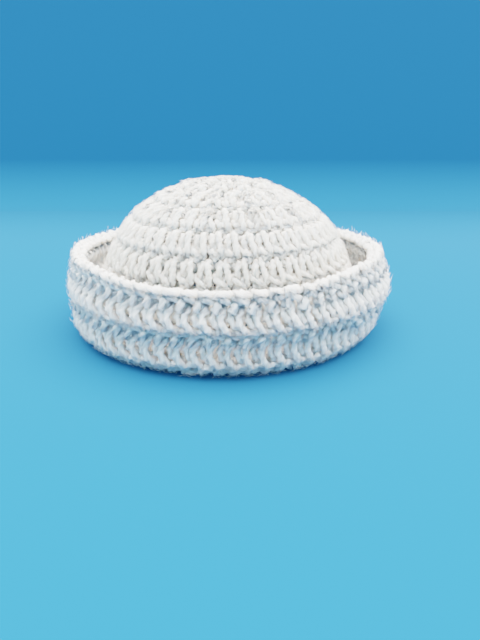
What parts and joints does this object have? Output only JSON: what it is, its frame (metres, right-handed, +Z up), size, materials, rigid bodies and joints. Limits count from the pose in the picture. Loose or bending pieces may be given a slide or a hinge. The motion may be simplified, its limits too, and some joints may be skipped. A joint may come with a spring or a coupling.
{
  "type": "baby sailor cap",
  "caption": "Crocheted baby sailor cap: a round domed crown with a deep brim turned up all the way around.",
  "frame": {"origin": "on the surface that the cap rests on, below the centre of its outline", "axes": "+Z up through the crown, -Y towards the front that the picture shows, +X to the right of it"},
  "size_m": [0.153, 0.153, 0.0685],
  "materials": {
    "crown_yarn": "matt crocheted yarn",
    "brim_yarn": "soft crocheted yarn with a faint sheen"
  },
  "bodies": {
    "root": {"crown": "crown_yarn", "brim": "brim_yarn"}
  },
  "joints": []
}
